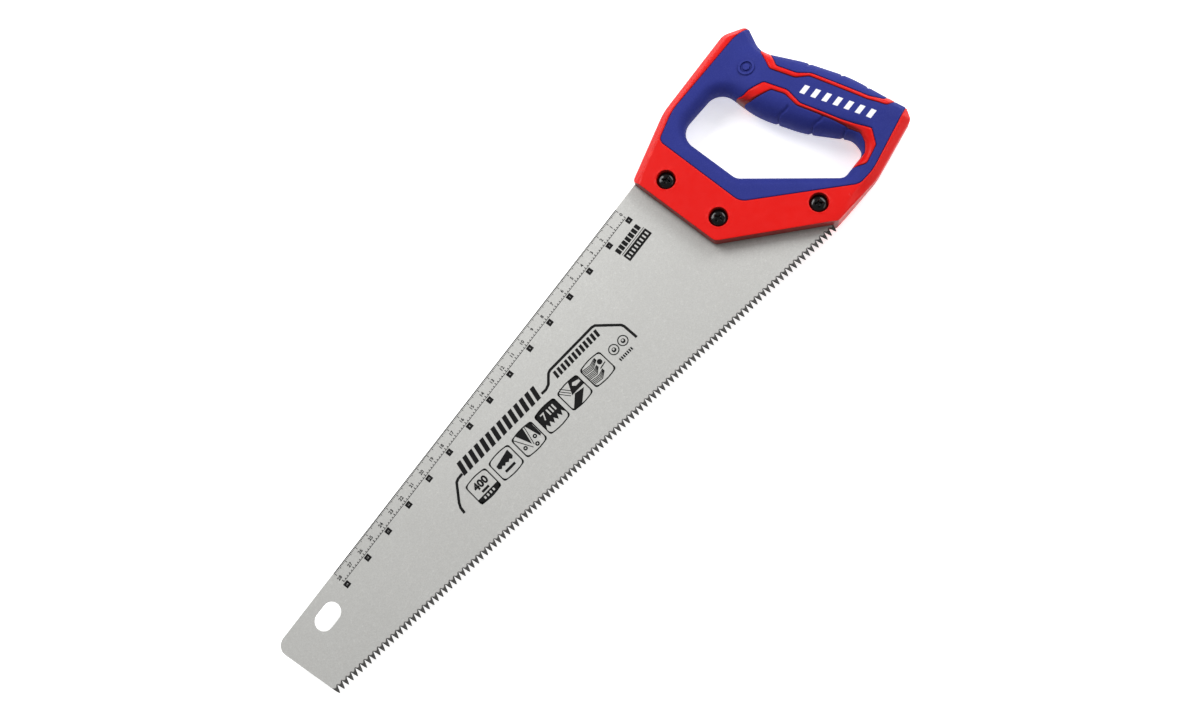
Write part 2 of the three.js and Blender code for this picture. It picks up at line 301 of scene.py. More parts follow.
def grip_place(points):
    """Along the grip from its middle towards the heel, and across it towards the palm."""
    along = np.array([math.cos(GRIP_AXIS["angle"]), math.sin(GRIP_AXIS["angle"])])
    across = np.array([-along[1], along[0]])
    offset = points - np.array([GRIP_AXIS["x"], GRIP_AXIS["y"]])
    return offset @ along, offset @ across


def handle_height(points):
    rim = distance(points, RIM)
    front = distance(points, FRONT, closed=False)
    hole = distance(points, HOLE)
    corner = np.hypot(*(points - HANDLE_FRONT[-1][:2]).T)
    edge_half = PLATE_HALF - FRONT_ROUND - (PLATE_HALF - FRONT_ROUND - RIM_EDGE_HALF) * smooth_step(
        corner, *CHAMFER_RUN_OUT)
    chamfer = edge_half + rim * (PLATE_HALF - edge_half) / RIM_CHAMFER
    chamfer -= 0.5 * np.clip(1 - rim / 0.7, 0, 1) ** 2
    plate = smooth_min(np.full(len(points), PLATE_HALF), chamfer, 0.5)
    edge = PLATE_HALF - FRONT_ROUND * (1 - rolled(front / FRONT_ROUND, 2))
    plate = smooth_min(plate, edge, 0.2)
    hole_edge = HOLE_EDGE_HALF + (PLATE_HALF - HOLE_EDGE_HALF) * rolled(hole / HOLE_ROUND, 2.1)
    plate = smooth_min(plate, hole_edge, 0.6)

    along, across = grip_place(points)
    swell = np.sqrt(np.maximum(1 - (2 * along / GRIP_AXIS["length"]) ** 2, 0.05))
    crown = smooth_min(np.full(len(points), GRIP_HALF), GRIP_AXIS["thickness"] / 2 * swell, 1.2)
    side = smooth_min(hole, rim, 5)
    pillow = GRIP_EDGE_HALF + (crown - GRIP_EDGE_HALF) * rolled(side / GRIP_ROLL, 2.1)
    share = smooth_step(along, 58, 36) * smooth_step(along, -58, -30) * smooth_step(across, -30, -24)
    height = plate + (pillow - plate) * share

    for x, y in SCREWS.values():
        radius = np.hypot(points[:, 0] - x, points[:, 1] - y)
        profile = np.interp(radius, COUNTERBORE_RADII, COUNTERBORE_HEIGHTS)
        height = np.where(radius < COUNTERBORE_RADII[-1], profile, height)
    badge = np.hypot(points[:, 0] - BADGE["x"], points[:, 1] - BADGE["y"])
    ring = np.interp(badge, BADGE_RADII, BADGE_RELIEF)
    return height + ring


# ---------- meshes ----------


def linked(name, data):
    made = bpy.data.objects.new(name, data)
    bpy.context.scene.collection.objects.link(made)
    return made


def mesh_object(name, vertices, faces, material, smooth_angle=35, slot=None, replaces=()):
    """A piece of the saw: vertices in drawing millimetres, riding on the one body."""
    mesh = bpy.data.meshes.new(name)
    mesh.from_pydata([tuple(p) for p in place(vertices)], [], [tuple(f) for f in faces])
    mesh.update()
    mesh.validate()
    mesh.shade_smooth()
    mesh.set_sharp_from_angle(angle=math.radians(smooth_angle))
    piece = linked(name, mesh)
    piece.data.materials.append(material)
    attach(piece, "root")
    if replaces:
        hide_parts(*replaces)
    return piece


def boundary_edges(triangles):
    """Edges that only one triangle has, in that triangle's direction."""
    edges = {}
    for a, b, c in triangles:
        for edge in ((a, b), (b, c), (c, a)):
            edges[edge] = True
    return [edge for edge in edges if (edge[1], edge[0]) not in edges]


def slab(flat, triangles, top, bottom, wall_steps=1, slot=None):
    """A closed solid over flat triangles, between two heights given for each point.

    slot is a mask of the triangles that a sheet passes through, with half the slot's width.
    """
    used = np.unique(triangles)
    index = {int(v): i for i, v in enumerate(used)}
    count = len(used)
    vertices = [(*flat[v], top[v]) for v in used] + [(*flat[v], bottom[v]) for v in used]
    faces = [(index[a], index[b], index[c]) for a, b, c in triangles]
    faces += [(index[c] + count, index[b] + count, index[a] + count) for a, b, c in triangles]
    edges = boundary_edges(triangles)
    slotted = triangles[slot[0]] if slot else []
    slot_edges = boundary_edges(slotted)
    upper, lower = {}, {}
    if slot:
        for v in sorted({int(v) for v in np.unique(slotted)} | {int(v) for e in edges for v in e}):
            upper[v], lower[v] = len(vertices), len(vertices) + 1
            vertices += [(*flat[v], slot[1]), (*flat[v], -slot[1])]
        faces += [(upper[c], upper[b], upper[a]) for a, b, c in slotted]
        faces += [(lower[a], lower[b], lower[c]) for a, b, c in slotted]
    columns = {}
    for a, _ in edges:
        ends = [(top[a], slot[1]), (-slot[1], bottom[a])] if slot else [(top[a], bottom[a])]
        column = [index[a]]
        for part, (high, low) in enumerate(ends):
            for k in range(1, wall_steps):
                column.append(len(vertices))
                vertices.append((*flat[a], high + (low - high) * k / wall_steps))
            if part + 1 < len(ends):
                column += [upper[a], lower[a]]
        column.append(index[a] + count)
        columns[a] = column
    open_edges = set(slot_edges) & set(edges)
    for a, b in edges:
        for k in range(len(columns[a]) - 1):
            if (a, b) in open_edges and k == wall_steps:
                continue
            faces.append((columns[b][k], columns[a][k], columns[a][k + 1], columns[b][k + 1]))
    for a, b in slot_edges:
        if (a, b) not in open_edges:
            faces.append((upper[a], upper[b], lower[b], lower[a]))
    return vertices, faces


def joined(solids):
    """The vertices and faces of several solids, as those of one piece."""
    vertices, faces = [], []
    for more, sides in solids:
        faces += [tuple(i + len(vertices) for i in face) for face in sides]
        vertices += more
    return vertices, faces


def triangulated(points, loops):
    """Delaunay triangles of the points and closed lines. Returns flat points and triangles."""
    vertices = [Vector(p) for p in points]
    edges = []
    for loop in loops:
        first = len(vertices)
        vertices += [Vector(p) for p in loop]
        edges += [(first + i, first + (i + 1) % len(loop)) for i in range(len(loop))]
    found = delaunay_2d_cdt(vertices, edges, [], 0, 1e-5)
    flat = np.array([tuple(p) for p in found[0]])
    triangles = np.array([tuple(f) for f in found[2] if len(f) == 3])
    a, b, c = (flat[triangles[:, k]] for k in range(3))
    area = (b[:, 0] - a[:, 0]) * (c[:, 1] - a[:, 1]) - (b[:, 1] - a[:, 1]) * (c[:, 0] - a[:, 0])
    triangles[area < 0] = triangles[area < 0][:, ::-1]
    return flat, triangles[np.abs(area) > 1e-9]


def thinned(candidates, keep):
    """Drops each point that is closer than its own clearance to one that was kept before it."""
    cells = {}
    kept = []
    for x, y in keep:
        cells.setdefault((int(x // CELL), int(y // CELL)), []).append((x, y))
    for x, y, clearance in candidates:
        column, row = int(x // CELL), int(y // CELL)
        reach = int(clearance // CELL) + 1
        around = itertools.product(range(column - reach, column + reach + 1),
                                   range(row - reach, row + reach + 1))
        near = (spot for place_at in around for spot in cells.get(place_at, ()))
        if all((px - x) ** 2 + (py - y) ** 2 >= clearance ** 2 for px, py in near):
            cells.setdefault((column, row), []).append((x, y))
            kept.append((x, y))
    return np.array(kept)


def rows_beside(loop, offsets, both_sides):
    """Points beside a closed line at each distance, with the clearance each one needs."""
    tangent = np.roll(loop, -1, axis=0) - np.roll(loop, 1, axis=0)
    normal = np.c_[-tangent[:, 1], tangent[:, 0]] / np.linalg.norm(tangent, axis=1)[:, None]
    rows = []
    before = 0.0
    for offset in offsets:
        clearance = (offset - before) * 0.55
        before = offset
        for sign in ((1, -1) if both_sides else (1,)):
            moved = loop + normal * offset * sign
            good = distance(moved, loop) > 0.96 * offset
            rows.append(np.c_[moved[good], np.full(good.sum(), clearance)])
    return np.vstack(rows)


# ---------- materials ----------


def linear(red, green, blue):
    """A colour given as sRGB from 0 to 255, as scene-linear RGBA."""
    parts = []
    for value in (red, green, blue):
        share = value / 255
        parts.append(share / 12.92 if share <= 0.04045 else ((share + 0.055) / 1.055) ** 2.4)
    return (*parts, 1)


def add_node(tree, kind, inputs=None, **settings):
    made = tree.nodes.new("ShaderNode" + kind)
    for name, value in settings.items():
        setattr(made, name, value)
    for name, value in (inputs or {}).items():
        if isinstance(value, bpy.types.NodeSocket):
            tree.links.new(value, made.inputs[name])
        else:
            made.inputs[name].default_value = value
    return made


def calc(tree, operation, *values):
    return add_node(tree, "Math", dict(enumerate(values)), operation=operation).outputs[0]


def mixed(tree, share, a, b):
    """Colour a where share is 0, and b where it is 1."""
    return add_node(tree, "Mix", {0: share, 6: a, 7: b}, data_type="RGBA").outputs[2]


def ranged(tree, value, low, high, to_low, to_high):
    made = add_node(tree, "MapRange", {
        "Value": value, "From Min": low, "From Max": high, "To Min": to_low, "To Max": to_high,
    })
    return made.outputs["Result"]


def noise(tree, size_mm, detail=2.0, roughness=0.5, stretch=None):
    """Noise with features of about that size, in the row frame."""
    where = add_node(tree, "TexCoord").outputs["Object"]
    if stretch:
        where = add_node(tree, "Mapping", {"Vector": where, "Scale": stretch}).outputs["Vector"]
    made = add_node(tree, "TexNoise", {
        "Vector": where, "Scale": 1000 / size_mm, "Detail": detail, "Roughness": roughness,
    })
    return made.outputs["Fac"]


def shader(name):
    material = bpy.data.materials.new(name)
    material.use_nodes = True
    tree = material.node_tree
    return material, tree, tree.nodes["Principled BSDF"]


def bumped(tree, surface, height, depth_mm, strength=1.0, under=None):
    inputs = {"Height": height, "Distance": depth_mm / 1000, "Strength": strength}
    if under is not None:
        inputs["Normal"] = under
    made = add_node(tree, "Bump", inputs)
    tree.links.new(made.outputs["Normal"], surface.inputs["Normal"])
    return made.outputs["Normal"]


def worn_edges(tree, low=0.52, high=0.6):
    point = add_node(tree, "NewGeometry").outputs["Pointiness"]
    return ranged(tree, point, low, high, 0, 1)


def rubbed(tree, body, colour, size_mm, least, most):
    """The body's colour, paler in patches along its edges."""
    patches = ranged(tree, noise(tree, size_mm, 3), 0.3, 0.7, least, most)
    return mixed(tree, calc(tree, "MULTIPLY", worn_edges(tree), patches), body, colour)


def dressed(tree, surface, body, size_mm, detail, least, most):
    """Gives a surface its colour, and a roughness that varies over patches of that size."""
    tree.links.new(body, surface.inputs["Base Color"])
    rough = ranged(tree, noise(tree, size_mm, detail), 0.3, 0.7, least, most)
    tree.links.new(rough, surface.inputs["Roughness"])


TOWARDS_BLADE = (-0.77, -0.64, 0)   # the side of the handle's plate that is painted in shade: its walls that face the toe and the teeth


def red_plastic():
    material, tree, surface = shader("red_plastic")
    body = mixed(tree, noise(tree, 26, 3), linear(217, 17, 12), linear(208, 14, 10))
    speckle = ranged(tree, noise(tree, 0.5, 2), 0.35, 0.7, 0, 0.1)
    body = mixed(tree, speckle, body, linear(232, 44, 36))
    body = rubbed(tree, body, linear(240, 72, 60), 3, 0.15, 0.5)
    # Painted shade: the red turns dark within about 2 mm of the blade's middle plane, where the
    # plate's walls meet the blade.
    where = add_node(tree, "TexCoord").outputs["Object"]
    level = add_node(tree, "SeparateXYZ", {"Vector": where}).outputs["Z"]
    away = calc(tree, "ABSOLUTE", calc(tree, "SUBTRACT", level, ORIGIN.z))
    painted_contact_shade = ranged(tree, away, 0.0004, 0.0022, 0.7, 0)
    body = mixed(tree, painted_contact_shade, body, linear(92, 12, 10))
    # Painted shade: walls that face TOWARDS_BLADE are darkened to a near black brown, as if in
    # shadow.
    normal = add_node(tree, "NewGeometry").outputs["Normal"]
    facing = add_node(tree, "VectorMath", {0: normal, 1: TOWARDS_BLADE}, operation="DOT_PRODUCT")
    painted_side_shade = ranged(tree, facing.outputs["Value"], 0.5, 0.8, 0, 0.75)
    body = mixed(tree, painted_side_shade, body, linear(66, 26, 20))
    dressed(tree, surface, body, 5, 4, 0.34, 0.44)
    surface.inputs["Specular IOR Level"].default_value = 0.18
    fine = bumped(tree, surface, noise(tree, 0.35, 2), 0.02, 0.5)
    bumped(tree, surface, noise(tree, 14, 1), 0.12, 0.5, under=fine)
    return material


def blue_rubber():
    material, tree, surface = shader("blue_rubber")
    body = mixed(tree, noise(tree, 18, 3), linear(44, 52, 131), linear(38, 45, 118))
    dust = ranged(tree, noise(tree, 0.9, 3), 0.45, 0.75, 0, 0.16)
    body = mixed(tree, dust, body, linear(70, 78, 156))
    body = rubbed(tree, body, linear(72, 80, 156), 2, 0.1, 0.4)
    dressed(tree, surface, body, 4, 4, 0.56, 0.7)
    surface.inputs["Specular IOR Level"].default_value = 0.1
    bumped(tree, surface, noise(tree, 0.3, 2), 0.03, 0.6)
    return material


def joint_grime(tree, where):
    """How dark the painted shadow on the blade beside the handle's plate is: most at its lower front
    side.
    """
    beyond = []
    for k, steepness in ((0, 2.2), (1, 1.0)):
        start, end = (Vector((x, y, 0)) for x, y, _ in HANDLE_FRONT[k:k + 2])
        along = (end - start).normalized()
        out = Vector((along.y, -along.x, 0)) * steepness
        reach = add_node(tree, "VectorMath", {0: where, 1: out}, operation="DOT_PRODUCT")
        at_edge = (start / 1000 + ORIGIN).dot(out)
        beyond.append(calc(tree, "SUBTRACT", reach.outputs["Value"], at_edge))
    away = calc(tree, "MAXIMUM", *beyond)
    ragged = calc(tree, "MULTIPLY_ADD", noise(tree, 5, 3), -0.0012, away)
    return ranged(tree, ragged, 0.0, 0.0024, 0.45, 0)


HARDENED_TO = 0.0034                # metres above the tooth line that the dark points reach


def blade_steel():
    material, tree, surface = shader("blade_steel")
    cloud = noise(tree, 60, 3)
    body = mixed(tree, cloud, linear(199, 199, 196), linear(189, 189, 186))
    grain = ranged(tree, noise(tree, 0.7, 2, 0.6), 0.35, 0.65, 0, 0.6)
    body = mixed(tree, grain, body, linear(176, 175, 172))
    mottle = ranged(tree, noise(tree, 4, 2), 0.35, 0.65, 0, 0.3)
    body = mixed(tree, mottle, body, linear(184, 184, 181))
    fleck = ranged(tree, noise(tree, 1.8, 3, 0.7), 0.58, 0.72, 0, 0.25)
    body = mixed(tree, fleck, body, linear(226, 226, 223))

    where = add_node(tree, "TexCoord").outputs["Object"]
    split = add_node(tree, "SeparateXYZ", {"Vector": where})
    gullet = (ORIGIN.x * 1000 + FIRST_TOOTH_X + TOOTH_PITCH / 2) / 1000
    turn = 2 * math.pi * 1000 / TOOTH_PITCH
    phase = calc(tree, "MULTIPLY_ADD", split.outputs["X"], turn, -gullet * turn)
    wave = calc(tree, "COSINE", phase)
    line = calc(tree, "MULTIPLY_ADD", wave, 0.0006, ORIGIN.y + HARDENED_TO)
    ragged = calc(tree, "MULTIPLY_ADD", noise(tree, 1.1, 2), 0.0005, line)
    below = calc(tree, "SUBTRACT", ragged, split.outputs["Y"])
    hardened = ranged(tree, below, 0.0, 0.0006, 0, 1)
    dark = mixed(tree, noise(tree, 0.8, 2), linear(84, 82, 78), linear(58, 58, 60))
    body = mixed(tree, hardened, body, dark)
    # Painted shadow: the blade darkens to brown beside the handle's plate, most at its lower front
    # side.
    body = mixed(tree, joint_grime(tree, where), body, linear(70, 64, 58))
    surface.inputs["Metallic"].default_value = 0.5
    dressed(tree, surface, body, 0.8, 3, 0.5, 0.64)
    fine = bumped(tree, surface, noise(tree, 0.4, 3, 0.7), 0.012, 0.7)
    bumped(tree, surface, noise(tree, 0.12, 1, 0.5, (0.02, 1, 1)), 0.004, 0.5, under=fine)
    return material


def black_oxide():
    material, tree, surface = shader("black_oxide")
    body = mixed(tree, noise(tree, 1.5, 3), linear(7, 7, 8), linear(15, 14, 15))
    body = mixed(tree, worn_edges(tree, 0.54, 0.64), body, linear(60, 58, 56))
    surface.inputs["Metallic"].default_value = 0.3
    dressed(tree, surface, body, 0.7, 3, 0.1, 0.2)
    bumped(tree, surface, noise(tree, 0.25, 2), 0.01, 0.6)
    return material


def printed(name, dark, light, roughness):
    material, tree, surface = shader(name)
    body = mixed(tree, ranged(tree, noise(tree, 0.4, 3), 0.35, 0.7, 0, 1), dark, light)
    dressed(tree, surface, body, 0.6, 2, roughness - 0.06, roughness + 0.06)
    surface.inputs["Specular IOR Level"].default_value = 0.1
    bumped(tree, surface, noise(tree, 0.2, 2), 0.004, 0.5)
    return material


RED = red_plastic()
BLUE = blue_rubber()
STEEL = blade_steel()
BLACK = black_oxide()
BLACK_INK = printed("black_ink", linear(17, 17, 18), linear(26, 26, 26), 0.6)
WHITE_INK = printed("white_ink", linear(240, 240, 242), linear(226, 226, 232), 0.5)

# ---------- the handle ----------

SEAM_SPACING = 0.9
SEAMS = {}
for hard_side, soft_side, corners, gap in (
    ("frame", "soft", SOFT_ZONE, -SEAM),
    ("finger_outer", "finger_outer_soft", FINGER_ZONE, SEAM),
    ("finger_inner", "finger_pad", FINGER_PAD, -SEAM),
    ("palm_outer", "palm_outer_soft", PALM_ZONE, SEAM),
    ("palm_inner", "palm_pad", PALM_PAD, -SEAM),
):
    SEAMS[hard_side] = filleted(corners, SEAM_SPACING)
    SEAMS[soft_side] = filleted(grown(corners, gap), SEAM_SPACING)
BLADE_SLOT_HALF = BLADE_HALF + 0.03
BLADE_ROOM_GROWTH = 0.25        # how much larger the slot is than the blade's outline
BLADE_ROOM_CORNERS = [
    (330, GULLET_Y, 0), (423, GULLET_Y, 0), *BLADE_REAR, (330, spine_y(330), 0),
]
BLADE_ROOM = filleted(grown(BLADE_ROOM_CORNERS, BLADE_ROOM_GROWTH), 3)
RIM_ROWS = [0.12, 0.35, 0.7, 1.2, 1.9, 2.8, 3.7, 4.3, 4.6, 4.9, 5.4, 6.4]
SEAM_ROWS = [0.07, 0.2, 0.4, 0.7, 1.1, 1.6]
GRID_STEP = 1.25
CELL = 0.7                      # size of the squares that points are sorted into
WALL_STEPS = 4


def handle_plan():
    """Flat triangles over the whole handle, with points along every edge, seam and rim."""
    screws = list(SCREWS.values())
    circles = [circle(x, y, r, 48) for x, y in screws for r in COUNTERBORE_RADII]
    holes = [circle(x, y, SLEEVE_HOLE, 32) for x, y in screws]
    badge = [circle(BADGE["x"], BADGE["y"], r, 36) for r in BADGE_RADII]
    loops = [HANDLE, HOLE, BLADE_ROOM, *SEAMS.values(), *circles, *holes, *badge]
    rows = [rows_beside(HANDLE, RIM_ROWS, False), rows_beside(HOLE, RIM_ROWS, True)]
    rows += [rows_beside(seam, SEAM_ROWS, True) for seam in SEAMS.values()]
    fine = []
    for x, y, degrees, length in [*FINGER_NOTCHES, *PALM_NOTCHES]:
        across, along = np.meshgrid(np.arange(-3, 3.1, 0.35), np.arange(-2, length + 2, 0.45))
        turn = math.radians(degrees)
        spots_x = x + along * math.cos(turn) - across * math.sin(turn)
        spots_y = y + along * math.sin(turn) + across * math.cos(turn)
        fine.append(np.c_[spots_x.ravel(), spots_y.ravel(), np.full(across.size, 0.2)])
    grid_x, grid_y = np.meshgrid(np.arange(338, 492, GRID_STEP), np.arange(0, 139, GRID_STEP * 0.87))
    grid_x[1::2] += GRID_STEP / 2
    grid = np.c_[grid_x.ravel(), grid_y.ravel(), np.full(grid_x.size, 0.65)]
    candidates = np.vstack([*rows, *fine, grid])
    good = inside(candidates, HANDLE) & ~inside(candidates, HOLE)
    candidates = candidates[good]
    return triangulated(thinned(candidates, np.vstack(loops)), loops)


def notch_shift(points, places):
    """How far each point moves inwards and down at the notches and grooves of a pad."""
    shift = np.zeros_like(points)
    drop = np.zeros(len(points))
    for x, y, degrees, length in places:
        turn = math.radians(degrees)
        direction = np.array([math.cos(turn), math.sin(turn)])
        offset = points - np.array([x, y])
        along = offset @ direction
        bend = NOTCH_BEND * np.sin(2 * math.pi * along / length)
        across = offset @ np.array([-direction[1], direction[0]]) - bend
        groove = np.exp(-(across / GROOVE_WIDTH) ** 2)
        edge = np.exp(-(np.maximum(along, 0) / NOTCH_REACH) ** 2)
        shift += (NOTCH_DEPTH * groove * edge)[:, None] * direction
        drop += GROOVE_DEPTH * groove * smooth_step(along, length, length - GROOVE_FADE)
    return shift, drop


def build_handle():
    flat, triangles = handle_plan()
    centres = flat[triangles].mean(axis=1)
    within = {name: inside(centres, loop) for name, loop in SEAMS.items()}
    whole = inside(centres, HANDLE) & ~inside(centres, HOLE)
    for x, y in SCREWS.values():
        whole &= np.hypot(centres[:, 0] - x, centres[:, 1] - y) > SLEEVE_HOLE
    height = handle_height(flat)
    seam = np.min([distance(flat, loop) for loop in SEAMS.values()], axis=0)
    ridge_height = height + RIDGE_PROUD - RIDGE_SHOULDER * (1 - rolled(seam / RIDGE_SHOULDER, 2))
    height -= SHOULDER * (1 - rolled(seam / SHOULDER, 2))

    in_blade = inside(centres, BLADE_ROOM)
    red = whole & ~within["frame"]
    ridges = [whole & within[pad + "_outer"] & ~within[pad + "_inner"] for pad in ("finger", "palm")]
    soft = whole & within["soft"] & ~within["finger_outer_soft"] & ~within["palm_outer_soft"]

    def slotted(chosen, top):
        slot = (in_blade[chosen], BLADE_SLOT_HALF) if in_blade[chosen].any() else None
        return slab(flat, triangles[chosen], top, -top, WALL_STEPS, slot)

    core = [slotted(red, height), *(slotted(ridge, ridge_height) for ridge in ridges)]
    mesh_object("core_moulding", *joined(core), RED, slot="core_plastic", replaces=["handle_core"])
    mesh_object("grip_moulding", *slotted(soft, height), BLUE, slot="soft_grip",
                replaces=["grip_overmould"])
    for name, places in (("finger_pad", FINGER_NOTCHES), ("palm_pad", PALM_NOTCHES)):
        shift, drop = notch_shift(flat, places)
        top = height - drop
        chosen = whole & within[name]
        vertices, faces = slab(flat + shift, triangles[chosen], top, -top, WALL_STEPS)
        mesh_object(name + "_moulding", vertices, faces, BLUE, slot="soft_grip", replaces=[name])


build_handle()

# ---------- the blade ----------

TOOTH_SHARES = (-1, -0.8, -0.55, -0.3, -0.12, 0, 0.12, 0.3, 0.55, 0.8, 1)
TOOTH_INSIDE = [                # points inside each tooth, from its own tip's place
    (0, 0.5), (-0.5, 1.6), (0.5, 1.6), (-0.95, 2.8), (0.95, 2.8), (-1.5, 3.8), (1.5, 3.8),
]
BLADE_EDGE_BREAK = 0.1
BLADE_EDGE_WIDTH = 0.14


def tooth_line():
    """The toothed edge from toe to heel, and how much of the ground bevel each point has."""
    points, ground = [], []
    for i in range(TOOTH_COUNT):
        x = FIRST_TOOTH_X + i * TOOTH_PITCH
        for share in TOOTH_SHARES[1 if i == 0 else 0:]:
            rise = TOOTH_DEPTH * abs(share) ** TOOTH_BULGE
            points.append((x + share * TOOTH_FLANK, TOOTH_TIP_Y + rise))
            ground.append(min(1, (1 - abs(share)) * 4))
        if i < TOOTH_COUNT - 1:
            points.append((x + TOOTH_PITCH / 2, GULLET_Y + 0.12))
            ground.append(0)
    return np.array(points), np.array(ground)


def hanging_slot():
    corners = []
    for along, across in ((-1, -1), (1, -1), (1, 1), (-1, 1)):
        spot = Vector((along * HANG_SLOT["length"] / 2, across * HANG_SLOT["width"] / 2))
        spot = Matrix.Rotation(SPINE_ANGLE, 2) @ spot
        radius = HANG_SLOT["width"] / 2 - 0.01
        corners.append((HANG_SLOT["x"] + spot.x, HANG_SLOT["y"] + spot.y, radius))
    return filleted(corners, 2)


def build_blade():
    edge, ground = tooth_line()
    rest = filleted([(*edge[-1], 0), *BLADE_REAR, *BLADE_TOE, (*edge[0], 0)], 6, closed=False)
    outline = np.vstack([edge, rest[1:-1]])
    slot_loop = hanging_slot()
    holes = [circle(x, y, SLEEVE_HOLE, 40) for x, y in SCREWS.values()]

    crease = [(FIRST_TOOTH_X + i * TOOTH_PITCH + x, y)
              for i in range(TOOTH_COUNT) for x, y in TOOTH_INSIDE]
    inner = []
    for loop in (rest, slot_loop):
        tangent = np.gradient(loop, axis=0)
        normal = np.c_[-tangent[:, 1], tangent[:, 0]] / np.linalg.norm(tangent, axis=1)[:, None]
        for sign in (1, -1):
            inner.append(loop + sign * BLADE_EDGE_WIDTH * normal)
    extra = np.vstack([np.array(crease), *inner])
    inside_now = inside(extra, outline) & ~inside(extra, slot_loop)
    flat, triangles = triangulated(extra[inside_now], [outline, slot_loop, *holes])
    centres = flat[triangles].mean(axis=1)
    chosen = inside(centres, outline) & ~inside(centres, slot_loop)
    for hole in holes:
        chosen &= ~inside(centres, hole)

    edge_distance = np.minimum(distance(flat, rest, closed=False), distance(flat, slot_loop))
    broken = np.where(edge_distance < 0.02, BLADE_EDGE_BREAK, 0.0)
    top = np.full(len(flat), BLADE_HALF) - broken
    bottom = -top
    for i, point in enumerate(flat):
        if point[1] > GULLET_Y + 0.7:
            continue
        tooth = round((point[0] - FIRST_TOOTH_X) / TOOTH_PITCH)
        side = 1 if tooth % 2 else -1
        bend = TOOTH_SET * max(0.0, (GULLET_Y - point[1]) / TOOTH_DEPTH) * side
        nearest = np.argmin(np.hypot(*(edge - point).T))
        on_edge = np.hypot(*(edge[nearest] - point)) < 1e-3
        taken = ground[nearest] * TOOTH_GROUND if on_edge else 0.0
        top[i] += bend - (taken if side > 0 else 0)
        bottom[i] += bend + (taken if side < 0 else 0)
    vertices, faces = slab(flat, triangles[chosen], top, bottom)
    return mesh_object("blade_sheet", vertices, faces, STEEL, 20, slot="blade_steel",
                       replaces=["blade"])


build_blade()

# ---------- screws and sleeve nuts ----------

HEAD_RADIUS = 5.6
HEAD_UNDER = 5.3
HEAD_SIDE = 1.1                 # height of the head's straight side
HEAD_TOP = 8.3
RECESS_DEPTH = 2.1
HEAD_TURNS = [28, 12, 52]       # degrees that each cross recess is turned by
EDGE_BREAK = 0.14
SHANK_RADIUS = 2.4
SHANK_END = -3.5
FLANGE_RADIUS = 5.4
FLANGE_OUTSIDE = -7.9
FLANGE_UNDER = -5.3
SLEEVE_RADIUS = 3.4
SLEEVE_END = 3.7
SLEEVE_BORE_END = -5.0
BORE_RADIUS = 2.7


def lathe(profile, sides=56):
    """Vertices and faces of a closed solid of revolution about Z, from (radius, height) points."""
    vertices, rings = [], []
    for radius, height in profile:
        if radius < 1e-6:
            rings.append([len(vertices)] * sides)
            vertices.append((0, 0, height))
            continue
        rings.append(list(range(len(vertices), len(vertices) + sides)))
        for k in range(sides):
            angle = 2 * math.pi * k / sides
            vertices.append((radius * math.cos(angle), radius * math.sin(angle), height))
    faces = []
    for low, high in zip(rings, rings[1:]):
        for k in range(sides):
            corners = [low[k], low[(k + 1) % sides], high[(k + 1) % sides], high[k]]
            corners = list(dict.fromkeys(corners))
            if len(corners) > 2:
                faces.append(tuple(corners))
    return vertices, faces


def wedge(length, width, floor_length, floor_width, top, floor):
    """A box whose floor is smaller than its top."""
    vertices = []
    for half_x, half_y, height in ((floor_length / 2, floor_width / 2, floor),
                                   (length / 2, width / 2, top)):
        for x, y in ((-1, -1), (1, -1), (1, 1), (-1, 1)):
            vertices.append((x * half_x, y * half_y, height))
    sides = [(k, (k + 1) % 4, (k + 1) % 4 + 4, k + 4) for k in range(4)]
    return vertices, [(3, 2, 1, 0), (4, 5, 6, 7), *sides]


def temporary(vertices, faces):
    mesh = bpy.data.meshes.new("temporary")
    mesh.from_pydata(vertices, [], faces)
    return linked("temporary", mesh)


def carved(body, cutters):
    """The body's vertices and faces after the cutters are taken off it and its edges broken."""
    target = temporary(*body)
    others = [temporary(*cutter) for cutter in cutters]
    for other in others:
        cut = target.modifiers.new("cut", "BOOLEAN")
        cut.operation = "DIFFERENCE"
        cut.solver = "EXACT"
        cut.object = other
    edge = target.modifiers.new("edge", "BEVEL")
    edge.width = EDGE_BREAK
    edge.segments = 2
    edge.limit_method = "ANGLE"
    edge.angle_limit = math.radians(40)
    bpy.context.view_layer.update()
    graph = bpy.context.evaluated_depsgraph_get()
    result = bpy.data.meshes.new_from_object(target.evaluated_get(graph))
    vertices = [tuple(v.co) for v in result.vertices]
    faces = [tuple(f.vertices) for f in result.polygons]
    for made in [target, *others]:
        bpy.data.objects.remove(made)
    return vertices, faces


def turned_about(vertices, angle, x, y):
    cosine, sine = math.cos(angle), math.sin(angle)
    return [(x + a * cosine - b * sine, y + a * sine + b * cosine, c) for a, b, c in vertices]


def set_out(kind, ending, body, turns):
    """A copy of the body at each screw, in place of the CAD's piece."""
    vertices, faces = body
    for (name, (x, y)), turn in zip(SCREWS.items(), turns):
        placed = turned_about(vertices, turn, x, y)
        mesh_object(f"{kind}_{name}_{ending}", placed, faces, BLACK, 40, slot="black_screws",
                    replaces=[f"{kind}_{name}"])


